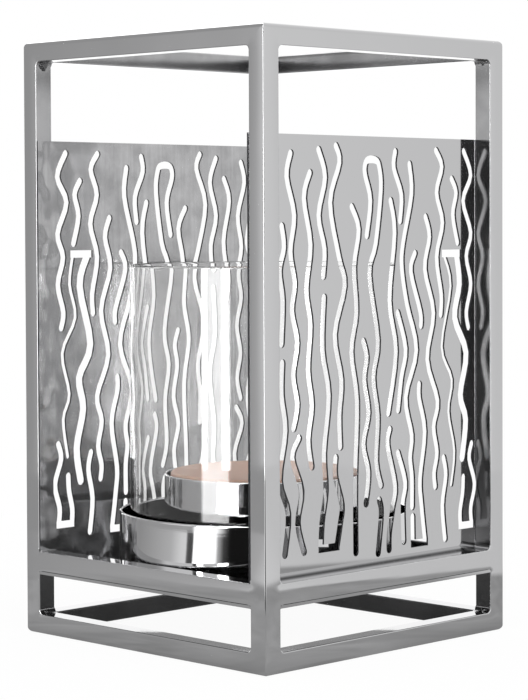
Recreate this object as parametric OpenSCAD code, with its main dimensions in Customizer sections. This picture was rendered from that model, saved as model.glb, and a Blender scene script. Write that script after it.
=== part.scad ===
// Candle lantern: a welded frame of square bar, two slotted side panels,
// and a loose dish, glass cylinder, candle cup and pillar candle inside.
// Origin at the bottom centre, +Z up, front towards -Y.

/* [Frame] */
// Outside width and depth of the frame
side = 172; // [166:1:184]
// Overall height of the frame
frame_h = 300; // [280:5:330]
// Width of the square bars
bar_w = 10; // [9:0.5:10]
// Rounding along the edges of the bars
bar_r = 0.6; // [0.4:0.1:1.2]
// Rounding of the frame's eight outer corners
corner_r = 2.5; // [1.5:0.5:3]
// Height of the middle rails' top face
middle_z = 42; // [40:1:46]
// Leg length of the weld fillets in the window corners
weld_leg = 2.5; // [1.5:0.5:3]
// Radius of the weld lumps inside the corners
weld_lump_r = 3; // [2:0.5:3.5]
// Thickness of the floor plate under the middle rails
plate_t = 1.5; // [1:0.5:2]

/* [Side panels] */
// Thickness of the panel sheet
sheet_t = 1.0; // [0.8:0.1:1.4]
// Height of the panels above the middle rails
panel_h = 208; // [207:1:216]
// Width of the cut slots
slot_w = 3.8; // [3:0.1:4]
// How far the free tongue under the bar of the seven leans to one side
tongue_lean = 1.2; // [0:0.1:1.4]
// Relief between the panel's foot and the ends of the cross rails
foot_relief = 0.5; // [0.3:0.1:1]

/* [Dish and glass] */
// Outer radius of the dish
dish_r = 74; // [72:0.5:74]
// Height of the dish
dish_h = 31; // [26:1:34]
// Wall and floor thickness of the dish
dish_t = 1.5; // [1:0.1:2]
// Outer radius of the glass cylinder
glass_r = 68.5; // [66:0.5:69]
// Height of the glass cylinder
glass_h = 154; // [140:1:160]
// Wall thickness of the glass
glass_t = 2.5; // [2:0.1:3]

/* [Candle] */
// Outer radius of the candle cup
cup_r = 51; // [49:0.5:53]
// Height of the candle cup
cup_h = 48; // [44:1:52]
// Wall and floor thickness of the candle cup
cup_t = 1.2; // [1:0.1:1.5]
// Radial gap between the cup and the candle
candle_gap = 1.8; // [1:0.1:2.5]
// How far the candle stands above the rim of the cup
candle_proud = 1; // [0:0.5:4]
// Radius of the wick
wick_r = 1; // [0.8:0.1:1.5]
// Length of the wick above the wax
wick_out = 9; // [6:1:12]

/* [Hidden] */
$fn = 96;
half = side / 2;
inner = half - bar_w;
floor_z = middle_z - bar_w;
rail_len = 2 * inner;
top_z = frame_h - bar_w;
base_r = 2;
glass_z = floor_z + dish_t;
cup_z = glass_z;
candle_z = cup_z + cup_t;
candle_r = cup_r - cup_t - candle_gap;
candle_h = cup_h - cup_t + candle_proud;
candle_edge_r = 1.5;
fillet_c = weld_leg * 1.54;
fillet_r = fillet_c * 1.06;
curve_steps = 4;
cap_steps = 5;

// Slots of one panel, each a list of points [across, up] that its middle
// line passes through: across from the panel's edge, up from its foot.
SLOTS = [
    [[22, 165], [23.5, 155], [20.5, 144], [22.5, 130], [21.5, 110]],
    [[22, 101], [21.5, 86], [24, 69], [20, 46], [25.5, 30], [23, 11]],
    [[28, 199], [25.4, 188], [30.4, 170], [27.8, 153], [30.6, 138], [28.7, 125], [32.2, 110],
     [29.4, 95], [32.1, 81], [29.4, 70]],
    [[41, 190], [37, 178], [41.4, 156], [38.5, 135], [41.2, 118], [39.5, 97], [42, 80],
     [39.5, 64], [41.5, 51]],
    [[47, 201], [51.5, 188], [47, 170], [51, 154], [50, 141]],
    [[59, 203], [61.5, 195], [55, 176], [61, 150], [65, 136], [58, 113], [62.5, 91],
     [61, 74], [61.5, 59]],
    [[50.5, 131], [49.4, 106], [53.6, 84], [50.2, 57], [51.2, 39], [48.4, 24], [47.6, 12]],
    [[58.2, 54], [57.9, 45], [62.3, 31], [61, 22], [58.8, 12]],
    [[70, 174], [75, 163], [71.7, 145], [73.2, 123], [69.6, 104], [73.5, 80], [72, 43], [72, 7]],
    [[80.7, 160], [83.4, 177], [79.8, 189], [79.5, 193.6], [81.5, 196.6], [87.2, 196.6],
     [89.8, 193.6], [91, 182], [87.2, 156], [82.6, 141], [88.6, 109], [85.3, 91], [88.4, 72],
     [87.2, 50], [90.5, 38]],
    [[98, 177], [101, 161], [97.2, 128], [101.8, 103], [96, 73]],
    [[101.5, 201], [100.5, 193], [106, 180], [105, 167]],
    [[112, 195], [113.5, 180], [107.2, 156], [106.3, 144], [110, 126], [117, 103], [109, 80],
     [113.4, 61], [112.2, 50], [113.5, 40], [113.5, 25.5]],
    [[116, 151], [113, 142], [120, 122], [120.4, 115]],
    [[124, 169], [127, 159], [123.5, 143], [130, 121], [125.2, 98], [133, 77], [130, 64],
     [132.5, 51], [130.3, 41], [131, 34]],
    [[132, 202], [136.5, 194], [132.5, 181], [137, 166], [132.5, 149], [136, 130],
     [135.5, 120]],
    [[144, 188], [147.5, 181], [145, 170], [148.5, 156]],
    [[153.5, 202], [159, 190], [153, 177], [159, 161], [155.5, 149], [159, 135],
     [155.5, 121], [157, 113]],
    [[103, 122], [109, 104], [105.8, 90], [103.2, 74]],
    [[78, 109], [80.5, 101], [78.7, 90], [81.7, 74], [78, 59], [81.5, 45], [79.4, 30]],
    [[33, 65], [28.5, 56], [34.5, 40], [31.8, 25], [36, 11]],
    [[97, 65], [95.5, 57], [101, 37], [98.8, 26], [96.2, 14], [96, 6]],
    [[89, 31], [90.4, 24], [88, 5]],
    [[103, 53], [108.5, 38], [106.5, 27], [107, 9]],
    [[113.8, 20.5], [114, 8]],
    [[119, 86], [119, 79], [123.2, 62], [119.6, 39], [120.6, 26], [123.2, 8]],
    [[137.5, 48], [139.3, 39], [136.6, 24], [138.5, 7]],
    [[152.9, 37], [152.4, 29], [150.4, 20], [150.6, 13]],
    [[159.4, 53.6], [157.6, 46], [161.8, 33], [158.8, 21], [159.4, 13]]
];

// Square-ended slots that join the ends of others: [left, right, height]
BARS = [[45.8, 60.4, 11.3], [112.2, 125, 7], [148.7, 161.3, 12.4], [136, 150.9, 150.6]];

// The legs of the seven, on either side of its free tongue
LEG_A = [[138.8, 149.6], [143.8, 134], [136.9, 104], [144.6, 87], [142, 71], [146.5, 51],
         [144, 34]];
LEG_B = [[148.6, 149.2], [150.6, 135], [147, 118], [155.8, 100], [151.3, 79], [155.4, 66],
         [152.6, 47]];

// ---- Bars ----

// Square with its corners rounded by true arcs
module rounded_square(w, r) {
    square([w - 2 * r, w], center = true);
    square([w, w - 2 * r], center = true);
    for (x = [-1, 1], y = [-1, 1]) translate([x, y] * (w / 2 - r)) circle(r);
}

// Rounded rectangle standing on the X axis
module rounded_face(w, h, r) {
    translate([-w / 2, r]) square([w, h - 2 * r]);
    translate([-w / 2 + r, 0]) square([w - 2 * r, h]);
    for (x = [-1, 1], y = [r, h - r]) translate([x * (w / 2 - r), y]) circle(r);
}

// Slab with the frame's outline, as seen from the front
module outline_slab() {
    rotate([90, 0, 0])
        linear_extrude(side + 2, center = true)
            rounded_face(side, frame_h, corner_r);
}

// Upright at the corner given by the signs of x and y
module post(x, y) {
    color("silver") intersection() {
        translate([x, y, 0] * (half - bar_w / 2))
            linear_extrude(frame_h) rounded_square(bar_w, bar_r);
        outline_slab();
        rotate([0, 0, 90]) outline_slab();
    }
}

// Rail between two posts with its underside at height z; turn picks the side
module rail(turn, z) {
    color("silver") rotate([0, 0, turn])
        translate([0, -half + bar_w / 2, z + bar_w / 2])
            rotate([0, 90, 0])
                linear_extrude(rail_len, center = true) rounded_square(bar_w, bar_r);
}

// ---- Welds ----

// Fillet along Y in the corner of +X and +Z, starting at the origin
module fillet() {
    depth = bar_w - 2 * bar_r;
    translate([0, depth / 2, 0]) rotate([90, 0, 0])
        linear_extrude(depth) difference() {
            square(weld_leg);
            translate([fillet_c, fillet_c]) circle(fillet_r);
        }
}

// Fillets at x = -w and x = w of the front face, on top of a rail at height z
module fillets_above(z, w) {
    for (x = [0, 1]) mirror([x, 0, 0])
        translate([-w, -half + bar_w / 2, z]) fillet();
}

// The same two fillets, hung under height z
module fillets_below(z, w) {
    translate([0, 0, z]) mirror([0, 0, 1]) fillets_above(0, w);
}

// Lump of weld at the origin, in the corner of a post and two rails below it
module weld_lump() {
    difference() {
        sphere(weld_lump_r);
        translate([-bar_w, -bar_w, -bar_w]) cube([bar_w, bar_w, 2 * bar_w]);
        translate([-bar_w, -bar_w, -bar_w]) cube([2 * bar_w, 2 * bar_w, bar_w]);
    }
}

module corner_welds() {
    color("gainsboro") {
        for (turn = [0, 90, 180, 270]) rotate([0, 0, turn]) {
            fillets_above(bar_w, inner);
            fillets_below(floor_z - plate_t, inner);
            fillets_above(middle_z, turn % 180 == 0 ? inner - sheet_t : inner);
            fillets_below(top_z, inner);
            translate([-inner, -inner, bar_w]) weld_lump();
            translate([-inner, -inner, top_z]) mirror([0, 0, 1]) weld_lump();
        }
    }
}

// ---- Floor and side panels ----

module floor_plate() {
    color("gray") translate([0, 0, floor_z - plate_t])
        linear_extrude(plate_t) difference() {
            square(side, center = true);
            for (x = [-1, 1], y = [-1, 1])
                translate([x, y] * (half - bar_w / 2)) square(bar_w, center = true);
        }
}

// Smooth curve through b and c, for t from 0 to 1
function between(a, b, c, d, t) =
    (2 * b + (c - a) * t + (2 * a - 5 * b + 4 * c - d) * t * t
     + (3 * b - a - 3 * c + d) * t * t * t) / 2;

// Points of the smooth curve through all of the points p
function smooth(p) = concat(
    [for (i = [0:len(p) - 2], k = [0:curve_steps - 1])
        between(p[max(i - 1, 0)], p[i], p[i + 1], p[min(i + 2, len(p) - 1)],
                k / curve_steps)],
    [p[len(p) - 1]]);

// Direction of the curve c at its point i
function heading(c, i) =
    let (d = c[min(i + 1, len(c) - 1)] - c[max(i - 1, 0)]) atan2(d[1], d[0]);

function polar(r, angle) = r * [cos(angle), sin(angle)];

// Half circle of radius r that closes the end p of a slot
function cap(p, r, start) =
    [for (k = [1:cap_steps - 1]) p + polar(r, start - 180 * k / cap_steps)];

// Outline of a slot of half width r along the curve c, with round ends
function slot_outline(c, r) = let (last = len(c) - 1) concat(
    [for (i = [0:last]) c[i] + polar(r, heading(c, i) + 90)],
    cap(c[last], r, heading(c, last) + 90),
    [for (i = [last:-1:0]) c[i] + polar(r, heading(c, i) - 90)],
    cap(c[0], r, heading(c, 0) - 90));

module slot(points, width) {
    polygon(slot_outline(smooth(points), width / 2));
}

// Flat cut-out of a panel; lean moves the tongue of the seven across
module panel_outline(lean) {
    difference() {
        union() {
            square([side, panel_h]);
            translate([bar_w + foot_relief, -bar_w])
                square([side - 2 * (bar_w + foot_relief), bar_w + 1]);
        }
        for (points = SLOTS) slot(points, slot_w);
        for (bar = BARS)
            translate([bar[0], bar[2] - slot_w / 2]) square([bar[1] - bar[0], slot_w]);
        translate([lean / 2, 0]) {
            slot(LEG_A, slot_w + lean);
            slot(LEG_B, slot_w - lean);
        }
    }
}

// Panel against the inner faces of the two right-hand posts
module side_panel(lean) {
    color("lightgray") translate([inner - sheet_t, -half, middle_z])
        rotate([90, 0, 90]) linear_extrude(sheet_t) panel_outline(lean);
}

// ---- Dish, glass and candle ----

// Half section of a round pan, r wide and h high, rounded at its base
module pan_section(r, h, base) {
    square([r - base, h]);
    translate([0, base]) square([r, h - base]);
    translate([r - base, base]) circle(base);
}

// Open round pan with walls and floor t thick
module pan(r, h, t, base) {
    rotate_extrude() difference() {
        pan_section(r, h, base);
        translate([0, t]) pan_section(r - t, h, base - t / 2);
    }
}

module glass_dish() {
    color("gainsboro") translate([0, 0, floor_z]) pan(dish_r, dish_h, dish_t, base_r);
}

// Tube open at both ends, its two rims melted round
module glass_cylinder() {
    color("azure", 0.4) translate([0, 0, glass_z])
        rotate_extrude() translate([glass_r - glass_t, 0]) {
            translate([0, glass_t / 2]) square([glass_t, glass_h - glass_t]);
            for (z = [glass_t / 2, glass_h - glass_t / 2])
                translate([glass_t / 2, z]) circle(glass_t / 2);
        }
}

module candle_cup() {
    color("gainsboro") translate([0, 0, cup_z]) pan(cup_r, cup_h, cup_t, base_r);
}

// Wax with a hole for the wick and a softened upper edge
module candle() {
    color("tan") translate([0, 0, candle_z]) difference() {
        rotate_extrude() {
            square([candle_r - candle_edge_r, candle_h]);
            square([candle_r, candle_h - candle_edge_r]);
            translate([candle_r - candle_edge_r, candle_h - candle_edge_r])
                circle(candle_edge_r);
        }
        translate([0, 0, -1]) cylinder(candle_h + 2, r = wick_r);
    }
}

module wick() {
    color("ivory") translate([0, 0, candle_z]) cylinder(candle_h + wick_out, r = wick_r);
}

post(-1, -1);  // post_front_left
post(1, -1);  // post_front_right
post(-1, 1);  // post_back_left
post(1, 1);  // post_back_right
rail(0, top_z);  // top_rail_front
rail(90, top_z);  // top_rail_right
rail(180, top_z);  // top_rail_back
rail(270, top_z);  // top_rail_left
rail(0, floor_z);  // middle_rail_front
rail(90, floor_z);  // middle_rail_right
rail(180, floor_z);  // middle_rail_back
rail(270, floor_z);  // middle_rail_left
rail(0, 0);  // bottom_rail_front
rail(90, 0);  // bottom_rail_right
rail(180, 0);  // bottom_rail_back
rail(270, 0);  // bottom_rail_left
corner_welds();
floor_plate();
rotate([0, 0, 180]) side_panel(tongue_lean);  // side_panel_left
side_panel(-tongue_lean);  // side_panel_right
glass_dish();
glass_cylinder();
candle_cup();
candle();
wick();
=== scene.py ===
import math

import bpy
import numpy as np
from mathutils import Matrix, Vector


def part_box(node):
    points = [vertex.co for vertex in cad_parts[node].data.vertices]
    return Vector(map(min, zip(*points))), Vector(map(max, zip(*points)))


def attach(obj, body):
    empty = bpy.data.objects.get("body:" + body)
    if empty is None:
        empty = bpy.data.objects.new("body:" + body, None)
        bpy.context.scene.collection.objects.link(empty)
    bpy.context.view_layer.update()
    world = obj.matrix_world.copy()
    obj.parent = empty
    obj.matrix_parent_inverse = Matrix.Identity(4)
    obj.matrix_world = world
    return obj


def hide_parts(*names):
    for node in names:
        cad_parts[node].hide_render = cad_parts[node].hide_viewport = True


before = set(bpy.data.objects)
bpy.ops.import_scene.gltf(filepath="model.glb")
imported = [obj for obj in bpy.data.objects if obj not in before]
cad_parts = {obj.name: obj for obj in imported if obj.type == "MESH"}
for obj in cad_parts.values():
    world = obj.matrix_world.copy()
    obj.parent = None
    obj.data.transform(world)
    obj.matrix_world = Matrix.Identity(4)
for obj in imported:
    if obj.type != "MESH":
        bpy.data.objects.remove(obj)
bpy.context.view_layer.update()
mm = 0.001
print("frame loaded:", len(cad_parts), "nodes")

# where the bars end, read from the frame: outer and inner faces, the top, and the foot and head of
# the two windows that each side has
frameLines = {
    "outside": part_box("post_front_right")[1][0],
    "inside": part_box("post_front_right")[0][0],
    "top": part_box("post_front_right")[1][2],
    "windows": [(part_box("bottom_rail_front")[1][2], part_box("floor_plate")[0][2]),
                (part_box("middle_rail_front")[1][2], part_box("top_rail_front")[0][2])],
}


# sRGB hex to the linear colour that shaders take: the standard piecewise curve
def hexColour(code, alpha=1.0):
    srgb = np.array([int(code[i:i + 2], 16) for i in (0, 2, 4)]) / 255
    linear = np.where(srgb <= 0.04045, srgb / 12.92, ((srgb + 0.055) / 1.055) ** 2.4)
    return (*(float(v) for v in linear), alpha)


# adds one node; an input is a plain value, or (node, output) to link from. A Math node's inputs are
# 0 to 2. A Mix node's are 0 for the share, 2 and 3 for numbers, and 6 and 7 for colours, which leave
# it by output 2
def addNode(tree, kind, inputs=None, **settings):
    made = tree.nodes.new(kind)
    for name, value in settings.items():
        setattr(made, name, value)
    for name, value in (inputs or {}).items():
        if isinstance(value, tuple) and isinstance(value[0], bpy.types.Node):
            tree.links.new(value[0].outputs[value[1]], made.inputs[name])
        else:
            made.inputs[name].default_value = value
    return made


# an empty material and its node tree
def newMaterial(name):
    material = bpy.data.materials.new(name)
    material.use_nodes = True
    material.node_tree.nodes.clear()
    return material, material.node_tree


# closes a material: the shader goes to the surface output
def setSurface(tree, shader):
    out = addNode(tree, "ShaderNodeOutputMaterial")
    tree.links.new(shader.outputs[0], out.inputs["Surface"])


# object coordinates divided by the size of a stretched pattern along each axis
def patternSpace(tree, size):
    coords = addNode(tree, "ShaderNodeTexCoord")
    perMetre = tuple(1 / length for length in size)
    return addNode(tree, "ShaderNodeMapping", {"Vector": (coords, "Object"), "Scale": perMetre})


# a mesh object from a vertex array and a list of faces, its place in its mesh
def meshPiece(name, vertices, faces, smooth=True):
    mesh = bpy.data.meshes.new(name)
    mesh.from_pydata(vertices.reshape(-1, 3).tolist(), [], faces)
    mesh.polygons.foreach_set("use_smooth", np.full(len(mesh.polygons), smooth))
    mesh.update()
    piece = bpy.data.objects.new(name, mesh)
    bpy.context.scene.collection.objects.link(piece)
    return piece


# gives a piece its material and its body, and hides the nodes that it stands for
def dress(piece, material, body, nodes):
    setMaterial(piece, material)
    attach(piece, body)
    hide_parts(*nodes)


# makes a material the only one of a piece
def setMaterial(piece, material):
    piece.data.materials.clear()
    piece.data.materials.append(material)


# quads between each ring of points and the next, where a surface is a stack of closed rings
def ringQuads(rings, points):
    r, p = np.meshgrid(np.arange(rings - 1), np.arange(points), indexing="ij")
    n = (p + 1) % points
    quads = np.stack([r * points + p, r * points + n, (r + 1) * points + n, (r + 1) * points + p], -1)
    return quads.reshape(-1, 4)


# the same quads, and the triangles that join the first and the last ring to a pole each; the poles
# are the two points after the rings' own
def cappedFaces(rings, points):
    around = np.arange(points)
    after = (around + 1) % points
    pole = np.full(points, rings * points)
    last = (rings - 1) * points
    fans = np.concatenate([np.stack([pole, after, around], 1),
                           np.stack([pole + 1, last + around, last + after], 1)])
    return ringQuads(rings, points), fans


# a line with two more points on each long part, close to its ends, so that it is shaded straight
def supported(line, margin=0.1 * mm, longPart=2 * mm):
    parts = [line[:1]]
    for start, end in zip(line[:-1], line[1:]):
        length = np.linalg.norm(end - start)
        if length > longPart:
            step = (end - start) / length * margin
            parts.append(np.stack([start + step, end - step]))
        parts.append(end[None])
    return np.concatenate(parts)


# a polyline whose inner corners are swapped for arcs of the given radii: each arc's middle lies on
# the line that halves the corner, at radius / sin(half the corner's angle)
def roundedLine(points, radii, steps=6):
    points = np.array(points, float)
    line = [points[:1]]
    for i, radius in enumerate(radii, 1):
        toBefore = points[i - 1] - points[i]
        toAfter = points[i + 1] - points[i]
        toBefore /= np.linalg.norm(toBefore)
        toAfter /= np.linalg.norm(toAfter)
        half = math.acos(np.clip(toBefore @ toAfter, -1, 1)) / 2
        halving = (toBefore + toAfter) / np.linalg.norm(toBefore + toAfter)
        centre = points[i] + halving * radius / math.sin(half)
        start = points[i] + toBefore * radius / math.tan(half) - centre
        end = points[i] + toAfter * radius / math.tan(half) - centre
        turn = math.atan2(start[0] * end[1] - start[1] * end[0], start @ end)
        angle = np.linspace(0, turn, steps + 1)[:, None]
        side = np.array([-start[1], start[0]])
        line.append(centre + start * np.cos(angle) + side * np.sin(angle))
    line.append(points[-1:])
    return supported(np.concatenate(line))


# bar of the frame, stainless, ground and buffed: clear reflections that swim a little. The wheel
# crowns each face, so they bend towards the edges, and it doesn't reach inside the frame, where the
# faces stay ground, blotchy and duller, and are painted darker as shade inside the frame
barFinish = {
    "colour": "c9c9ca", "rough": (0.03, 0.08), "smudge": 16 * mm,
    "crown": 0.08 * mm, "crownReach": 5.0 * mm, "waves": 0.3 * mm, "waveLength": 38 * mm,
    "innerShadeDark": "9c9c9d", "innerShadeLight": "b0b0b1", "innerRough": 0.16, "blotch": 22 * mm,
}


# distance from a face point to the nearest free edge of the face: a window's or the outer one
def edgeDistance(tree, coords):
    place = addNode(tree, "ShaderNodeSeparateXYZ", {"Vector": (coords, "Object")})
    acrossX = addNode(tree, "ShaderNodeMath", {0: (place, "X")}, operation="ABSOLUTE")
    acrossY = addNode(tree, "ShaderNodeMath", {0: (place, "Y")}, operation="ABSOLUTE")
    along = addNode(tree, "ShaderNodeMath", {0: (acrossX, 0), 1: (acrossY, 0)}, operation="MINIMUM")
    toSide = addNode(tree, "ShaderNodeMath", {0: frameLines["outside"], 1: (along, 0)}, operation="SUBTRACT")
    toTop = addNode(tree, "ShaderNodeMath", {0: frameLines["top"], 1: (place, "Z")}, operation="SUBTRACT")
    nearest = addNode(tree, "ShaderNodeMath", {0: (toTop, 0), 1: (place, "Z")}, operation="MINIMUM")
    nearest = addNode(tree, "ShaderNodeMath", {0: (nearest, 0), 1: (toSide, 0)}, operation="MINIMUM")
    beside = addNode(tree, "ShaderNodeMath", {0: (along, 0), 1: frameLines["inside"]}, operation="SUBTRACT")
    beside = addNode(tree, "ShaderNodeMath", {0: (beside, 0), 1: 0.0}, operation="MAXIMUM")
    for foot, head in frameLines["windows"]:
        above = addNode(tree, "ShaderNodeMath", {0: (place, "Z"), 1: (foot + head) / 2}, operation="SUBTRACT")
        above = addNode(tree, "ShaderNodeMath", {0: (above, 0)}, operation="ABSOLUTE")
        above = addNode(tree, "ShaderNodeMath", {0: (above, 0), 1: (head - foot) / 2}, operation="SUBTRACT")
        above = addNode(tree, "ShaderNodeMath", {0: (above, 0), 1: 0.0}, operation="MAXIMUM")
        gap = addNode(tree, "ShaderNodeCombineXYZ", {"X": (beside, 0), "Y": (above, 0)})
        toWindow = addNode(tree, "ShaderNodeVectorMath", {0: (gap, 0)}, operation="LENGTH")
        nearest = addNode(tree, "ShaderNodeMath", {0: (nearest, 0), 1: (toWindow, "Value")},
                          operation="MINIMUM")
    return nearest


# 1 on a face that looks towards the lantern's axis, 0 on one that looks out, up or down: the place's
# level part times the face's direction is minus the inner faces' distance from the axis
def innerFace(tree, coords):
    level = addNode(tree, "ShaderNodeVectorMath", {0: (coords, "Object"), 1: (1.0, 1.0, 0.0)},
                    operation="MULTIPLY")
    shape = addNode(tree, "ShaderNodeNewGeometry")
    outward = addNode(tree, "ShaderNodeVectorMath", {0: (level, 0), 1: (shape, "True Normal")},
                      operation="DOT_PRODUCT")
    return addNode(tree, "ShaderNodeMath", {0: (outward, "Value"), 1: -20 * mm}, operation="LESS_THAN")


# height of a bar's face: it falls by the square of the nearness to an edge, and waves run over it
def barHeight(tree, coords):
    near = addNode(tree, "ShaderNodeMapRange", {
        "Value": (edgeDistance(tree, coords), 0), "From Min": 0.0, "From Max": barFinish["crownReach"],
        "To Min": 1.0, "To Max": 0.0})
    squared = addNode(tree, "ShaderNodeMath", {0: (near, 0), 1: (near, 0)}, operation="MULTIPLY")
    crown = addNode(tree, "ShaderNodeMath", {0: (squared, 0), 1: -barFinish["crown"]}, operation="MULTIPLY")
    wave = addNode(tree, "ShaderNodeTexNoise", {
        "Vector": (coords, "Object"), "Scale": 1 / barFinish["waveLength"], "Detail": 0.5})
    return addNode(tree, "ShaderNodeMath", {0: (wave, 0), 1: barFinish["waves"], 2: (crown, 0)},
                   operation="MULTIPLY_ADD")


def polishedBar():
    material, tree = newMaterial("polishedStainlessBar")
    coords = addNode(tree, "ShaderNodeTexCoord")
    bend = addNode(tree, "ShaderNodeBump", {"Strength": 1.0, "Distance": 1.0,
                                            "Height": (barHeight(tree, coords), 0)})
    smudge = addNode(tree, "ShaderNodeTexNoise", {
        "Vector": (coords, "Object"), "Scale": 1 / barFinish["smudge"], "Detail": 4.0})
    buffed = addNode(tree, "ShaderNodeMapRange", {
        "Value": (smudge, 0), "From Min": 0.3, "From Max": 0.7,
        "To Min": barFinish["rough"][0], "To Max": barFinish["rough"][1]})
    inner = innerFace(tree, coords)
    rough = addNode(tree, "ShaderNodeMix", {0: (inner, 0), 2: (buffed, 0), 3: barFinish["innerRough"]})
    blotch = addNode(tree, "ShaderNodeTexNoise", {
        "Vector": (coords, "Object"), "Scale": 1 / barFinish["blotch"], "Detail": 3.0})
    share = addNode(tree, "ShaderNodeMapRange", {"Value": (blotch, 0), "From Min": 0.35, "From Max": 0.6})
    # painted shade: the inner faces take darker colours than the outer ones, in random blotches
    innerShadeBlotch = addNode(tree, "ShaderNodeMix", {
        0: (share, 0), 6: hexColour(barFinish["innerShadeDark"]), 7: hexColour(barFinish["innerShadeLight"])},
        data_type="RGBA")
    colour = addNode(tree, "ShaderNodeMix", {
        0: (inner, 0), 6: hexColour(barFinish["colour"]), 7: (innerShadeBlotch, 2)}, data_type="RGBA")
    shader = addNode(tree, "ShaderNodeBsdfPrincipled", {
        "Base Color": (colour, 2), "Metallic": 1.0, "Roughness": (rough, 0), "Normal": (bend, 0)})
    setSurface(tree, shader)
    return material


# stainless sheet, rolled and cut by laser: its outer face is polished, its inner one keeps the mill
# finish, which is mottled and shows rubbing marks along its height. The cut edges are dark and
# rough. A dark line along the foot of the outer face is painted shadow where the sheet meets the
# rail; the weld there pulls the sheet in a little, and the heat of the welds ripples the inner face
panelFinish = {
    "outerFace": (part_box("side_panel_right")[0][0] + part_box("side_panel_right")[1][0]) / 2,
    "foot": frameLines["windows"][1][0],
    "polished": "c8c8c9", "polishedRough": 0.06,
    "rolledDark": "a2a2a3", "rolledLight": "bebebf", "rolledRough": (0.16, 0.1), "rolledMetal": 0.88,
    "blotch": 13 * mm, "markSize": (2.2 * mm, 2.2 * mm, 50 * mm), "markShare": 0.4,
    "cut": "404042", "cutRough": 0.45,
    # the seam colour is a painted shadow line in the crease along the foot, just above the rail
    "seam": "3c3c3d", "footShadowShare": 0.8, "footShadowHeight": (0.4 * mm, 1.4 * mm),
    "dent": 0.25 * mm, "dentLength": 60 * mm, "pull": 0.25 * mm, "pullReach": 8 * mm,
    "warp": 1.3 * mm, "warpLength": 17 * mm, "warpReach": 16 * mm,
}


# mill finish, 0 where it is dark and 1 where it is light: blotches and a share of upright marks
def millFinish(tree, coords):
    streak = addNode(tree, "ShaderNodeTexNoise", {
        "Vector": (patternSpace(tree, panelFinish["markSize"]), 0), "Scale": 1.0, "Detail": 3.0})
    blotch = addNode(tree, "ShaderNodeTexNoise", {
        "Vector": (coords, "Object"), "Scale": 1 / panelFinish["blotch"], "Detail": 4.0})
    soil = addNode(tree, "ShaderNodeMath", {0: (streak, 0), 1: panelFinish["markShare"], 2: (blotch, 0)},
                   operation="MULTIPLY_ADD")
    return addNode(tree, "ShaderNodeMapRange", {"Value": (soil, 0), "From Min": 0.5, "From Max": 0.9})


# height of the sheet: dents all over, less the pull on the outer face, which is e to the power of
# minus the height above the foot over its reach
def sheetHeight(tree, coords, place, outer):
    above = addNode(tree, "ShaderNodeMath", {
        0: (place, "Z"), 1: -1 / panelFinish["pullReach"], 2: panelFinish["foot"] / panelFinish["pullReach"]},
        operation="MULTIPLY_ADD")
    pull = addNode(tree, "ShaderNodeMath", {0: (above, 0)}, operation="EXPONENT")
    pull = addNode(tree, "ShaderNodeMath", {0: (pull, 0), 1: (outer, 0)}, operation="MULTIPLY")
    dent = addNode(tree, "ShaderNodeTexNoise", {
        "Vector": (coords, "Object"), "Scale": 1 / panelFinish["dentLength"], "Detail": 1.0})
    dent = addNode(tree, "ShaderNodeMath", {0: (dent, 0), 1: panelFinish["dent"]}, operation="MULTIPLY")
    return addNode(tree, "ShaderNodeMath", {0: (pull, 0), 1: -panelFinish["pull"], 2: (dent, 0)},
                   operation="MULTIPLY_ADD")


# ripples of the inner face: noise times e to the power of minus the distance to the nearest seam
# over its reach
def sheetWarp(tree, coords, place, outer):
    side = addNode(tree, "ShaderNodeMath", {0: (place, "Y")}, operation="ABSOLUTE")
    side = addNode(tree, "ShaderNodeMath", {0: frameLines["inside"], 1: (side, 0)}, operation="SUBTRACT")
    low = addNode(tree, "ShaderNodeMath", {0: (place, "Z"), 1: panelFinish["foot"]}, operation="SUBTRACT")
    near = addNode(tree, "ShaderNodeMath", {0: (side, 0), 1: (low, 0)}, operation="MINIMUM")
    near = addNode(tree, "ShaderNodeMath", {0: (near, 0), 1: -1 / panelFinish["warpReach"]},
                   operation="MULTIPLY")
    near = addNode(tree, "ShaderNodeMath", {0: (near, 0)}, operation="EXPONENT")
    ripple = addNode(tree, "ShaderNodeTexNoise", {
        "Vector": (coords, "Object"), "Scale": 1 / panelFinish["warpLength"], "Detail": 1.0})
    warp = addNode(tree, "ShaderNodeMath", {0: (near, 0), 1: (ripple, 0)}, operation="MULTIPLY")
    inside = addNode(tree, "ShaderNodeMath", {0: 1.0, 1: (outer, 0)}, operation="SUBTRACT")
    return addNode(tree, "ShaderNodeMath", {0: (warp, 0), 1: (inside, 0)}, operation="MULTIPLY")


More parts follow.
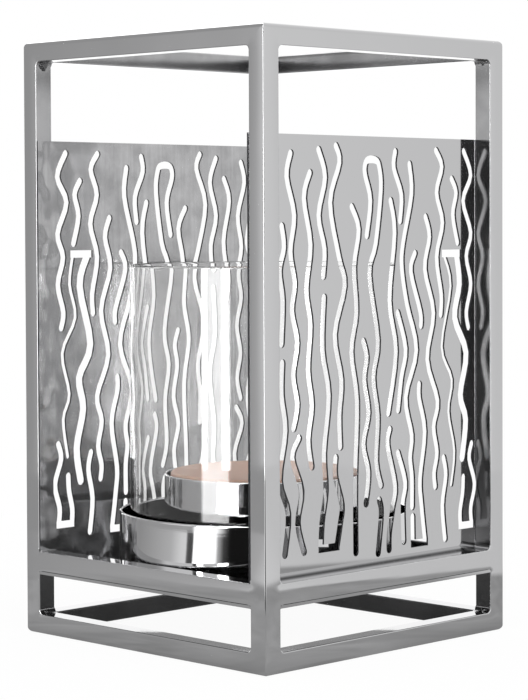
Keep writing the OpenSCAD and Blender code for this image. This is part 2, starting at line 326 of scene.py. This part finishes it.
def rolledSheet():
    material, tree = newMaterial("rolledStainlessSheet")
    coords = addNode(tree, "ShaderNodeTexCoord")
    place = addNode(tree, "ShaderNodeSeparateXYZ", {"Vector": (coords, "Object")})
    across = addNode(tree, "ShaderNodeMath", {0: (place, "X")}, operation="ABSOLUTE")
    outer = addNode(tree, "ShaderNodeMath", {0: (across, 0), 1: panelFinish["outerFace"]},
                    operation="GREATER_THAN")
    # the two faces look along X, and the cut edges don't
    shape = addNode(tree, "ShaderNodeNewGeometry")
    facing = addNode(tree, "ShaderNodeSeparateXYZ", {"Vector": (shape, "True Normal")})
    facing = addNode(tree, "ShaderNodeMath", {0: (facing, "X")}, operation="ABSOLUTE")
    cut = addNode(tree, "ShaderNodeMath", {0: (facing, 0), 1: 0.5}, operation="LESS_THAN")
    mill = millFinish(tree, coords)
    rolled = addNode(tree, "ShaderNodeMix", {
        0: (mill, 0), 6: hexColour(panelFinish["rolledDark"]), 7: hexColour(panelFinish["rolledLight"])},
        data_type="RGBA")
    # painted shadow line along the foot of the outer face, where the sheet meets the rail
    seam = addNode(tree, "ShaderNodeMapRange", {
        "Value": (place, "Z"), "From Min": panelFinish["foot"] + panelFinish["footShadowHeight"][0],
        "From Max": panelFinish["foot"] + panelFinish["footShadowHeight"][1],
        "To Min": panelFinish["footShadowShare"], "To Max": 0.0})
    polished = addNode(tree, "ShaderNodeMix", {
        0: (seam, 0), 6: hexColour(panelFinish["polished"]), 7: hexColour(panelFinish["seam"])},
        data_type="RGBA")
    face = addNode(tree, "ShaderNodeMix", {0: (outer, 0), 6: (rolled, 2), 7: (polished, 2)}, data_type="RGBA")
    colour = addNode(tree, "ShaderNodeMix", {0: (cut, 0), 6: (face, 2), 7: hexColour(panelFinish["cut"])},
                     data_type="RGBA")
    dull = addNode(tree, "ShaderNodeMapRange", {
        "Value": (mill, 0), "To Min": panelFinish["rolledRough"][0], "To Max": panelFinish["rolledRough"][1]})
    rough = addNode(tree, "ShaderNodeMix", {0: (outer, 0), 2: (dull, 0), 3: panelFinish["polishedRough"]})
    rough = addNode(tree, "ShaderNodeMix", {0: (cut, 0), 2: (rough, 0), 3: panelFinish["cutRough"]})
    metal = addNode(tree, "ShaderNodeMix", {0: (outer, 0), 2: panelFinish["rolledMetal"], 3: 1.0})
    height = addNode(tree, "ShaderNodeMath", {
        0: (sheetWarp(tree, coords, place, outer), 0), 1: panelFinish["warp"],
        2: (sheetHeight(tree, coords, place, outer), 0)}, operation="MULTIPLY_ADD")
    bend = addNode(tree, "ShaderNodeBump", {"Strength": 1.0, "Distance": 1.0, "Height": (height, 0)})
    along = addNode(tree, "ShaderNodeTangent", direction_type="RADIAL", axis="Z")
    shader = addNode(tree, "ShaderNodeBsdfPrincipled", {
        "Base Color": (colour, 2), "Metallic": (metal, 0), "Roughness": (rough, 0), "Anisotropic": 0.5,
        "Tangent": (along, 0), "Normal": (bend, 0)})
    setSurface(tree, shader)
    return material


# stainless floor sheet, buffed: a clear reflection that wanders, because its welds pull it out of flat
plateFinish = {"colour": "c4c4c5", "rough": 0.07, "dent": 0.2 * mm, "dentLength": 40 * mm}


def buffedPlate():
    material, tree = newMaterial("buffedStainlessPlate")
    coords = addNode(tree, "ShaderNodeTexCoord")
    dent = addNode(tree, "ShaderNodeTexNoise", {
        "Vector": (coords, "Object"), "Scale": 1 / plateFinish["dentLength"], "Detail": 1.0})
    bend = addNode(tree, "ShaderNodeBump", {
        "Strength": 1.0, "Distance": plateFinish["dent"], "Height": (dent, 0)})
    shader = addNode(tree, "ShaderNodeBsdfPrincipled", {
        "Base Color": hexColour(plateFinish["colour"]), "Metallic": 1.0,
        "Roughness": plateFinish["rough"], "Normal": (bend, 0)})
    setSurface(tree, shader)
    return material


# spun stainless, mirror polished: a sharp reflection, with fine rings round the piece
mirrorFinish = {"colour": "d2d2d3", "rough": 0.04, "ringSize": (50 * mm, 50 * mm, 1.43 * mm),
                "ringDepth": 0.02 * mm}


def mirrorSteel():
    material, tree = newMaterial("mirrorStainless")
    rings = addNode(tree, "ShaderNodeTexNoise", {
        "Vector": (patternSpace(tree, mirrorFinish["ringSize"]), 0), "Scale": 1.0, "Detail": 2.0})
    grain = addNode(tree, "ShaderNodeBump", {
        "Strength": 0.2, "Distance": mirrorFinish["ringDepth"], "Height": (rings, 0)})
    shader = addNode(tree, "ShaderNodeBsdfPrincipled", {
        "Base Color": hexColour(mirrorFinish["colour"]), "Metallic": 1.0,
        "Roughness": mirrorFinish["rough"], "Normal": (grain, 0)})
    setSurface(tree, shader)
    return material


# weld left raw inside the corners: dull, darker than the bars and a little scaly
weldFinish = {"colour": "6c6c6d", "rough": 0.45, "scaleSize": 1.43 * mm, "scaleDepth": 0.2 * mm}


def rawWeld():
    material, tree = newMaterial("rawWeldSteel")
    coords = addNode(tree, "ShaderNodeTexCoord")
    scale = addNode(tree, "ShaderNodeTexNoise", {
        "Vector": (coords, "Object"), "Scale": 1 / weldFinish["scaleSize"], "Detail": 3.0})
    bump = addNode(tree, "ShaderNodeBump", {
        "Strength": 0.6, "Distance": weldFinish["scaleDepth"], "Height": (scale, 0)})
    shader = addNode(tree, "ShaderNodeBsdfPrincipled", {
        "Base Color": hexColour(weldFinish["colour"]), "Metallic": 1.0,
        "Roughness": weldFinish["rough"], "Normal": (bump, 0)})
    setSurface(tree, shader)
    return material


# clear drawn glass, polished by flame at the rims: its walls are all but unseen, and its rims and
# sides show as thin dark and light lines
def clearGlass():
    material, tree = newMaterial("clearGlass")
    shader = addNode(tree, "ShaderNodeBsdfPrincipled", {
        "Base Color": hexColour("ffffff"), "Roughness": 0.0, "IOR": 1.5, "Transmission Weight": 1.0})
    setSurface(tree, shader)
    return material


# poured paraffin wax: light goes a few millimetres into it, so it looks soft, faintly clouded, and
# its skin has a low sheen
waxFinish = {"dark": "c9a593", "light": "d8b8a8", "mirrored": "acacac", "cloud": 22.2 * mm,
             "cloudDepth": 0.4 * mm, "rough": 0.42, "lightReach": 4 * mm}


def candleWax():
    material, tree = newMaterial("pouredWax")
    coords = addNode(tree, "ShaderNodeTexCoord")
    cloud = addNode(tree, "ShaderNodeTexNoise", {
        "Vector": (coords, "Object"), "Scale": 1 / waxFinish["cloud"], "Detail": 4.0})
    tone = addNode(tree, "ShaderNodeMix", {
        0: (cloud, 0), 6: hexColour(waxFinish["dark"]), 7: hexColour(waxFinish["light"])}, data_type="RGBA")
    # in the steel the wax shows grey, without its colour
    path = addNode(tree, "ShaderNodeLightPath")
    tone = addNode(tree, "ShaderNodeMix", {
        0: (path, "Glossy Depth"), 6: (tone, 2), 7: hexColour(waxFinish["mirrored"])}, data_type="RGBA")
    bump = addNode(tree, "ShaderNodeBump", {
        "Strength": 0.15, "Distance": waxFinish["cloudDepth"], "Height": (cloud, 0)})
    shader = addNode(tree, "ShaderNodeBsdfPrincipled", {
        "Base Color": (tone, 2), "Roughness": waxFinish["rough"], "IOR": 1.44, "Subsurface Weight": 0.35,
        "Subsurface Radius": (1.0, 0.6, 0.45), "Subsurface Scale": waxFinish["lightReach"],
        "Normal": (bump, 0)})
    setSurface(tree, shader)
    return material


# braided cotton, dipped in wax: matt, with short upright ridges
wickFinish = {"colour": "e9e3d4", "rough": 0.8, "braidSize": (0.4 * mm, 0.4 * mm, 1.1 * mm),
              "braidDepth": 0.1 * mm}


def wickCotton():
    material, tree = newMaterial("braidedCotton")
    braid = addNode(tree, "ShaderNodeTexNoise", {
        "Vector": (patternSpace(tree, wickFinish["braidSize"]), 0), "Scale": 1.0, "Detail": 2.0})
    bump = addNode(tree, "ShaderNodeBump", {
        "Strength": 0.5, "Distance": wickFinish["braidDepth"], "Height": (braid, 0)})
    shader = addNode(tree, "ShaderNodeBsdfPrincipled", {
        "Base Color": hexColour(wickFinish["colour"]), "Roughness": wickFinish["rough"], "Normal": (bump, 0)})
    setSurface(tree, shader)
    return material


# welded frame: posts and rails as one skin, because their joints are welded and dressed smooth
frameSpec = {
    "bars": [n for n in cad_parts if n.startswith("post_") or "_rail_" in n],
    "edgeRound": 0.6 * mm,
    "edgeSteps": 3,
    "edgeAngle": 50,
    "weldRound": 2.5 * mm,
    "weldSteps": 6,
    "touch": 0.1 * mm,
}


# grid lines of the frame along one axis: every place where a bar starts or ends
def barLines(axis):
    places = [corner[axis] for name in frameSpec["bars"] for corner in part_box(name)]
    return np.unique(np.round(np.array(places) / mm, 3)) * mm


# the cells of the box grid that a bar fills, with a layer of empty ones round them all
def filledCells(lines):
    middle = [(line[1:] + line[:-1]) / 2 for line in lines]
    filled = np.zeros([len(m) for m in middle], bool)
    for name in frameSpec["bars"]:
        low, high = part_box(name)
        inside = [(m > low[a]) & (m < high[a]) for a, m in enumerate(middle)]
        filled |= inside[0][:, None, None] & inside[1][None, :, None] & inside[2][None, None, :]
    return np.pad(filled, 1)


# a face wherever a filled cell meets an empty one, as four numbers of grid corners
def cellFaces(cells, shape):
    quads = []
    for axis in range(3):
        after = np.moveaxis(cells, axis, 0)
        step = after[1:, 1:-1, 1:-1].astype(int) - after[:-1, 1:-1, 1:-1]
        for sign in (1, -1):
            place = np.argwhere(step == sign)
            # the four corners of the face, turned so that it looks out of the filled cell
            ring = np.array([[0, 0], [1, 0], [1, 1], [0, 1]])[::-sign]
            index = np.concatenate([np.repeat(place[:, None, :1], 4, 1), place[:, None, 1:] + ring], -1)
            index = np.insert(index[..., 1:], axis, index[..., 0], -1)
            # with Y first the other two axes are X and Z, a left-handed order
            index = index[:, ::-1] if axis == 1 else index
            quads.append(np.ravel_multi_index(np.moveaxis(index, -1, 0), shape))
    return np.concatenate(quads)


# how many of the four cells round each grid edge are filled: one at an outer edge, three at a corner
# between two bars
def cellsRound(cells, low, along):
    count = np.zeros(len(low), int)
    for a in (0, 1):
        for b in (0, 1):
            offset = np.empty_like(low)
            for axis in range(3):
                offset[along == axis] = np.insert([a, b], axis, 1)
            count += cells[tuple((low + offset).T)]
    return count


# the bars' skin; the dressed welds and the posts' ends are rounded first, then every edge that is left
def weldedFrame():
    lines = [barLines(axis) for axis in range(3)]
    shape = np.array([len(line) for line in lines])
    cells = filledCells(lines)
    corners = np.stack(np.meshgrid(*lines, indexing="ij"), -1).reshape(-1, 3)
    used, quads = np.unique(cellFaces(cells, shape), return_inverse=True)
    piece = meshPiece("weldedFrame", corners[used], quads.reshape(-1, 4).tolist())
    mesh = piece.data
    ends = np.empty(len(mesh.edges) * 2, int)
    mesh.edges.foreach_get("vertices", ends)
    grid = np.stack(np.unravel_index(used[ends], shape), -1).reshape(-1, 2, 3)
    low = grid.min(1)
    along = np.argmax(grid.max(1) - low, 1)
    count = cellsRound(cells, low, along)
    spot = corners[used[ends]].reshape(-1, 2, 3)
    touch = frameSpec["touch"]
    onPost = (np.abs(spot[..., :2]).min(2) > frameLines["inside"] - touch).all(1) & (along < 2)
    level = spot[..., 2].max(1)
    atEnd = onPost & (count == 1) & ((level < touch) | (level > frameLines["top"] - touch))
    weight = mesh.attributes.new("bevel_weight_edge", "FLOAT", "EDGE")
    weight.data.foreach_set("value", np.where((count == 3) | atEnd, 1.0, 0.0))
    welds = piece.modifiers.new("dressedWelds", "BEVEL")
    welds.limit_method = "WEIGHT"
    welds.width = frameSpec["weldRound"]
    welds.segments = frameSpec["weldSteps"]
    welds.use_clamp_overlap = False
    edges = piece.modifiers.new("roundedEdges", "BEVEL")
    edges.limit_method = "ANGLE"
    edges.angle_limit = math.radians(frameSpec["edgeAngle"])
    edges.width = frameSpec["edgeRound"]
    edges.segments = frameSpec["edgeSteps"]
    edges.use_clamp_overlap = False
    flats = piece.modifiers.new("flatFaces", "WEIGHTED_NORMAL")
    flats.weight = 90
    return piece


dress(weldedFrame(), polishedBar(), "frame", frameSpec["bars"])
print("welded frame made")

# floor plate and side panels, as built
setMaterial(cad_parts["floor_plate"], buffedPlate())
panelSteel = rolledSheet()
for side in ("left", "right"):
    setMaterial(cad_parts["side_panel_" + side], panelSteel)


# weld beads: half sizes along and out of the seam, half the height under a top rail (tall) and on a
# bottom rail (flat), and the places of the seams. The upper beads are small, all but the large one
beadSpec = {
    "along": 2.6 * mm, "out": 1.8 * mm, "tall": 3.8 * mm, "flat": 1.6 * mm, "lump": 0.14, "steps": 24,
    "large": (-1, -1, 1, 0), "small": 0.5,
    "seam": frameLines["inside"] + 0.2 * mm, "middle": frameLines["inside"] + 5.2 * mm,
    "low": frameLines["windows"][0][0] + 0.2 * mm, "high": frameLines["windows"][1][1] - 0.8 * mm,
}


# beads left on the seams inside the corners, two at each; a bead's radius varies with the direction
# (x, y, z) from its middle as 1 + lump (sin(7 x + n) sin(6 y + 2 n) + half of sin(13 z + 9 x + n)),
# where n is its number. A seam is (side in X, side in Y, upper, along X)
def weldBeads():
    polar, turn = np.meshgrid(np.linspace(np.pi, 0, beadSpec["steps"])[1:-1],
                              np.linspace(0, 2 * np.pi, beadSpec["steps"], endpoint=False), indexing="ij")
    way = np.stack([np.sin(polar) * np.cos(turn), np.sin(polar) * np.sin(turn), np.cos(polar)], -1)
    way = np.concatenate([way.reshape(-1, 3), [[0, 0, -1], [0, 0, 1]]])
    quads, fans = cappedFaces(*polar.shape)
    vertices, faces = [], []
    seams = [(x, y, upper, alongX) for x in (-1, 1) for y in (-1, 1) for upper in (0, 1) for alongX in (0, 1)]
    for number, seam in enumerate(seams):
        x, y, upper, alongX = seam
        swell = np.sin(7 * way[:, 0] + number) * np.sin(6 * way[:, 1] + 2 * number)
        swell += 0.5 * np.sin(13 * way[:, 2] + 9 * way[:, 0] + number)
        size = np.array([beadSpec["out"], beadSpec["along"], beadSpec["tall" if upper else "flat"]])
        if upper and seam != beadSpec["large"]:
            size *= beadSpec["small"]
        place = np.array([beadSpec["seam"], beadSpec["middle"], beadSpec["high" if upper else "low"]])
        order = [1, 0, 2] if alongX else [0, 1, 2]
        start = len(vertices) * len(way)
        body = way * (1 + beadSpec["lump"] * swell[:, None]) * size[order]
        vertices.append(body + place[order] * np.array([x, y, 1]))
        faces += (quads + start).tolist() + (fans + start).tolist()
    return meshPiece("weldBeads", np.concatenate(vertices), faces)


dress(weldBeads(), rawWeld(), "frame", ["corner_welds"])
print("panels and welds made")

# dish, glass, cup and candle: wall thicknesses and the radii of their rounded corners
roundSegments = 320
dishSpec = {"wall": 1.5 * mm, "base": 2.0 * mm}
cupSpec = {"wall": 1.2 * mm, "base": 2.0 * mm}
glassSpec = {"wall": 2.5 * mm, "rimSteps": 8}
candleSpec = {"foot": 0.8 * mm, "shoulder": 1.8 * mm}


# radius, base height and rim height of a round node
def roundSize(name):
    low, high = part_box(name)
    return high[0], low[2], high[2]


# points (radius, height) turned about Z: rings of (radius cos, radius sin, height)
def turnedRings(section):
    angle = np.linspace(0, 2 * np.pi, roundSegments, endpoint=False)
    return np.stack([section[:, :1] * np.cos(angle), section[:, :1] * np.sin(angle),
                     np.repeat(section[:, 1:], roundSegments, 1)], -1)


# a round piece whose profile runs from pole to pole, the low one first
def turnedPiece(name, profile):
    rings = turnedRings(profile[1:-1])
    poles = np.array([[0, 0, profile[0, 1]], [0, 0, profile[-1, 1]]])
    quads, fans = cappedFaces(len(rings), roundSegments)
    return meshPiece(name, np.concatenate([rings.reshape(-1, 3), poles]), quads.tolist() + fans.tolist())


# open pan: up the outside, over the rim, down the inside and across the floor
def panPiece(name, node, spec):
    radius, low, high = roundSize(node)
    wall = spec["wall"]
    inside = radius - wall
    corners = [(0, low), (radius, low), (radius, high), (inside, high), (inside, low + wall), (0, low + wall)]
    rim = wall * 0.49  # just under half the wall, so that the rim's two arcs don't meet
    return turnedPiece(name, roundedLine(corners, [spec["base"], rim, rim, spec["base"] - wall / 2]))


# open tube: its section is a ring of points, with a half circle at the top and one at the bottom
def tubePiece(name, node, spec):
    radius, low, high = roundSize(node)
    turn = np.linspace(0, np.pi, spec["rimSteps"] + 1)
    r = spec["wall"] / 2
    top = np.stack([radius - r + r * np.cos(turn), high - r + r * np.sin(turn)], 1)
    bottom = np.stack([radius - r - r * np.cos(turn), low + r - r * np.sin(turn)], 1)
    section = supported(np.concatenate([top, bottom, top[:1]]))[:-1]
    rings = turnedRings(section)
    # the last ring is joined to the first one
    faces = ringQuads(len(section) + 1, roundSegments) % (len(section) * roundSegments)
    return meshPiece(name, rings, faces.tolist())


# solid candle: its foot and its shoulder are rounded
def candlePiece(name, node, spec):
    radius, low, high = roundSize(node)
    corners = [(0, low), (radius, low), (radius, high), (0, high)]
    return turnedPiece(name, roundedLine(corners, [spec["foot"], spec["shoulder"]]))


mirror = mirrorSteel()
dress(panPiece("dish", "glass_dish", dishSpec), mirror, "dish", ["glass_dish"])
dress(panPiece("cup", "candle_cup", cupSpec), mirror, "cup", ["candle_cup"])
dress(tubePiece("glassTube", "glass_cylinder", glassSpec), clearGlass(), "glass", ["glass_cylinder"])
dress(candlePiece("waxCandle", "candle", candleSpec), candleWax(), "candle", ["candle"])
setMaterial(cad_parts["wick"], wickCotton())
print("contents made")

# how bright the surroundings look in the steel, by compass direction in degrees from +X: pale walls,
# a lit one and a dusky one on the left, two strip lights in front, which the edges catch, and a dark
# side to the right of them
surroundings = [
    (0, 1.0), (14.5, 1.1), (32.5, 1.0), (45, 0.92), (51, 0.86), (72, 0.9), (108, 1.0), (129.5, 1.2),
    (142, 1.25), (147.5, 2.5), (164, 2.5), (169, 0.6), (180, 0.45), (216, 0.44), (219, 0.45),
    (222, 0.51), (225, 0.58), (227.5, 0.72), (229, 0.84), (232, 0.97), (256.7, 1.0), (257.4, 0.1),
    (261, 0.1), (261.5, 12.0), (264.5, 12.0), (265.3, 0.9), (278.3, 0.9), (279.1, 12.0), (284.8, 12.0),
    (286.6, 0.1), (291.6, 0.01), (307.8, 0.01), (310.3, 0.12), (324, 0.15), (331, 0.6), (338.5, 1.3),
    (345.5, 1.3)]

# the same by place on the floor, as the low parts of the lantern see it: light and shade painted on the
# floor, which glows with them in the steel
floorTones = [
    (0, 1.0), (14.5, 1.0), (32.5, 0.85), (45, 0.84), (51, 0.82), (72, 0.9), (108, 1.0), (129.5, 1.2),
    (140.5, 1.0), (151, 0.1), (158.5, 0.05), (169, 0.34), (195, 0.36), (198, 0.37), (208, 0.38),
    (223, 0.47), (233, 0.54), (243, 0.62), (252, 0.9), (256.7, 0.95), (257.4, 0.1), (261.7, 0.1),
    (262.4, 2.2), (278.6, 2.2), (281.2, 0.6), (285.1, 0.08), (290.2, 0.01), (313.2, 0.01), (331, 0.5)]

# further out in front of the lantern the floor is darker, and its lit part has no black border
farTones = sorted([stop for stop in floorTones if not 216 < stop[0] < 288] + [
    (219.6, 0.43), (240, 0.45), (261, 0.5), (263.9, 2.2), (277.2, 2.2), (287.6, 0.1)])


# a ramp of tones read at a direction or place; its first and last stops meet
def compassTone(tree, vector, tones):
    parts = addNode(tree, "ShaderNodeSeparateXYZ", {"Vector": vector})
    angle = addNode(tree, "ShaderNodeMath", {0: (parts, "Y"), 1: (parts, "X")}, operation="ARCTAN2")
    turns = addNode(tree, "ShaderNodeMath", {0: (angle, 0), 1: 1 / (2 * math.pi)}, operation="MULTIPLY")
    wrapped = addNode(tree, "ShaderNodeMath", {0: (turns, 0), 1: 1.0}, operation="FLOORED_MODULO")
    ramp = addNode(tree, "ShaderNodeFloatCurve", {"Value": (wrapped, 0)})
    curve = ramp.mapping.curves[0]
    ramp.mapping.use_clip = False
    for degrees, tone in tones[1:]:
        curve.points.new(degrees / 360, tone)
    curve.points[0].location = (0.0, tones[0][1])
    curve.points[-1].location = (1.0, tones[0][1])
    for point in curve.points:
        point.handle_type = "VECTOR"
    ramp.mapping.update()
    return ramp


# one shader for what is seen straight on or through the glass, one for what the steel mirrors, also
# where the mirrored ray goes on through the glass, and one for what dull surfaces gather
def byPath(tree, seen, mirrored, gathered):
    path = addNode(tree, "ShaderNodeLightPath")
    clear = addNode(tree, "ShaderNodeMixShader", {0: (path, "Glossy Depth"), 1: (seen, 0), 2: (mirrored, 0)})
    return addNode(tree, "ShaderNodeMixShader", {0: (path, "Diffuse Depth"), 1: (clear, 0), 2: (gathered, 0)})


# world: white behind the object, an even soft light on it, and the compass tones in the steel
def makeWorld():
    world = bpy.data.worlds.new("softStudio")
    bpy.context.scene.world = world
    world.use_nodes = True
    tree = world.node_tree
    tree.nodes.clear()
    white = hexColour("ffffff")
    coords = addNode(tree, "ShaderNodeTexCoord")
    tone = compassTone(tree, (coords, "Generated"), surroundings)
    soft = addNode(tree, "ShaderNodeBackground", {"Color": white, "Strength": 0.75})
    shown = addNode(tree, "ShaderNodeBackground", {"Color": white, "Strength": 1.0})
    mirrored = addNode(tree, "ShaderNodeBackground", {"Color": white, "Strength": (tone, 0)})
    out = addNode(tree, "ShaderNodeOutputWorld")
    tree.links.new(byPath(tree, shown, mirrored, soft).outputs[0], out.inputs["Surface"])
    world.cycles.sampling_method = "NONE"


# round sheet of white paper under the lantern. In the steel it shows painted light and shade: it is
# clouded and darker near the lantern (nearDark to nearLight), darkest in its painted shadow and under
# it, and takes the floor tones beyond nearRadius and the far tones beyond farRadius. Where it is seen itself
# it fades to white
floorSpec = {
    "radius": 0.88, "steps": 128,
    "nearRadius": 0.3, "nearBlend": 0.03, "farRadius": 0.5, "nearDark": 0.38, "nearLight": 0.52,
    "cloud": 60 * mm, "underTone": 0.06, "shade": 0.8, "shadeReach": 26 * mm,
    "paper": "f4f4f4", "whiteShare": 0.95, "fadeStart": 0.15, "fadeEnd": 0.5,
}


# how bright the floor close to the lantern looks in the steel: painted shade near and under it
def nearFloorTone(tree, coords):
    place = addNode(tree, "ShaderNodeSeparateXYZ", {"Vector": (coords, "Object")})
    sideX = addNode(tree, "ShaderNodeMath", {0: (place, "X")}, operation="ABSOLUTE")
    sideY = addNode(tree, "ShaderNodeMath", {0: (place, "Y")}, operation="ABSOLUTE")
    side = addNode(tree, "ShaderNodeMath", {0: (sideX, 0), 1: (sideY, 0)}, operation="MAXIMUM")
    cloud = addNode(tree, "ShaderNodeTexNoise", {
        "Vector": (coords, "Object"), "Scale": 1 / floorSpec["cloud"], "Detail": 2.0, "Distortion": 1.2})
    cloudTone = addNode(tree, "ShaderNodeMapRange", {
        "Value": (cloud, 0), "From Min": 0.3, "From Max": 0.7, "To Min": floorSpec["nearDark"],
        "To Max": floorSpec["nearLight"]})
    shade = addNode(tree, "ShaderNodeMapRange", {
        "Value": (side, 0), "From Min": frameLines["outside"],
        "From Max": frameLines["outside"] + floorSpec["shadeReach"],
        "To Min": floorSpec["shade"], "To Max": 1.0})
    close = addNode(tree, "ShaderNodeMath", {0: (cloudTone, 0), 1: (shade, 0)}, operation="MULTIPLY")
    return addNode(tree, "ShaderNodeMapRange", {
        "Value": (side, 0), "From Min": frameLines["inside"], "From Max": frameLines["outside"],
        "To Min": floorSpec["underTone"], "To Max": (close, 0)})


def makeFloor():
    angle = np.linspace(0, 2 * np.pi, floorSpec["steps"], endpoint=False)
    edge = np.stack([np.cos(angle), np.sin(angle), 0 * angle], 1) * floorSpec["radius"]
    piece = meshPiece("floor", edge, [list(range(floorSpec["steps"]))], smooth=False)
    material, tree = newMaterial("studioPaper")
    coords = addNode(tree, "ShaderNodeTexCoord")
    away = addNode(tree, "ShaderNodeVectorMath", {0: (coords, "Object")}, operation="LENGTH")
    outside = addNode(tree, "ShaderNodeMath", {0: (away, "Value"), 1: floorSpec["farRadius"]},
                      operation="GREATER_THAN")
    tone = addNode(tree, "ShaderNodeMix", {
        0: (outside, 0), 2: (compassTone(tree, (coords, "Object"), floorTones), 0),
        3: (compassTone(tree, (coords, "Object"), farTones), 0)})
    past = addNode(tree, "ShaderNodeMapRange", {
        "Value": (away, "Value"), "From Min": floorSpec["nearRadius"] * (1 - floorSpec["nearBlend"]),
        "From Max": floorSpec["nearRadius"] * (1 + floorSpec["nearBlend"])})
    tone = addNode(tree, "ShaderNodeMix", {0: (past, 0), 2: (nearFloorTone(tree, coords), 0), 3: (tone, 0)})
    white = hexColour("ffffff")
    mirrored = addNode(tree, "ShaderNodeEmission", {"Color": white, "Strength": (tone, 0)})
    paper = addNode(tree, "ShaderNodeBsdfDiffuse", {"Color": hexColour(floorSpec["paper"])})
    bright = addNode(tree, "ShaderNodeEmission", {"Color": white, "Strength": 1.0})
    fade = addNode(tree, "ShaderNodeMapRange", {
        "Value": (away, "Value"), "From Min": floorSpec["fadeStart"], "From Max": floorSpec["fadeEnd"],
        "To Min": floorSpec["whiteShare"], "To Max": 1.0})
    seen = addNode(tree, "ShaderNodeMixShader", {0: (fade, 0), 1: (paper, 0), 2: (bright, 0)})
    setSurface(tree, byPath(tree, seen, mirrored, paper))
    piece.data.materials.append(material)


# lamps: the overhead one lights the wax and the welds, and the steel doesn't show it; the strip
# lights only the glass and the cup, and shows in them as one long highlight
lampSpec = {
    "overheadLamp": {"place": (0.5, -0.3, 1.6), "aim": (0, 0, 0), "size": (1.2, 1.2), "watts": 12},
    "stripLamp": {"place": (0.044, -0.498, 0.25), "aim": (0, 0, 0.25), "size": (0.2, 0.5), "watts": 1.75,
                  "lights": ["glassTube", "cup"]},
}


def makeLamp(name, spec):
    light = bpy.data.lights.new(name, "AREA")
    light.shape = "RECTANGLE"
    light.size, light.size_y = spec["size"]
    light.energy = spec["watts"]
    lamp = bpy.data.objects.new(name, light)
    lamp.location = spec["place"]
    aim = Vector(spec["aim"]) - Vector(spec["place"])
    lamp.rotation_euler = aim.to_track_quat("-Z", "Y").to_euler()
    shows = "lights" in spec
    lamp.visible_glossy = shows
    lamp.visible_transmission = shows
    if shows:
        lit = bpy.data.collections.new(name + "Lights")
        for pieceName in spec["lights"]:
            lit.objects.link(bpy.data.objects[pieceName])
        lamp.light_linking.receiver_collection = lit
    bpy.context.scene.collection.objects.link(lamp)


# camera: angles in degrees, lens in millimetres, aim height and distance in metres
cameraSpec = {"azimuth": 44.91, "elevation": 1.80, "roll": -0.22, "aimHeight": 0.1741, "distance": 1.1821,
              "lens": 119.5, "shift": -0.0857}


def makeCamera():
    az, el, roll = (math.radians(cameraSpec[k]) for k in ("azimuth", "elevation", "roll"))
    back = np.array([math.sin(az) * math.cos(el), -math.cos(az) * math.cos(el), math.sin(el)])
    right = np.array([math.cos(az), math.sin(az), 0.0])
    up = np.cross(back, right)
    level = np.stack([right, up, back], 1)
    tilt = np.array([[math.cos(roll), -math.sin(roll), 0], [math.sin(roll), math.cos(roll), 0], [0, 0, 1]])
    data = bpy.data.cameras.new("camera")
    data.lens = cameraSpec["lens"]
    data.sensor_width = 36
    data.shift_y = cameraSpec["shift"]
    data.clip_start = 0.05
    camera = bpy.data.objects.new("camera", data)
    place = back * cameraSpec["distance"] + np.array([0, 0, cameraSpec["aimHeight"]])
    camera.matrix_world = Matrix.Translation(place.tolist()) @ Matrix((level @ tilt).tolist()).to_4x4()
    bpy.context.scene.collection.objects.link(camera)
    bpy.context.scene.camera = camera


makeWorld()
makeFloor()
for name, spec in lampSpec.items():
    makeLamp(name, spec)
makeCamera()
bpy.context.scene.view_settings.view_transform = "Standard"
print("surroundings, lamps and camera set")
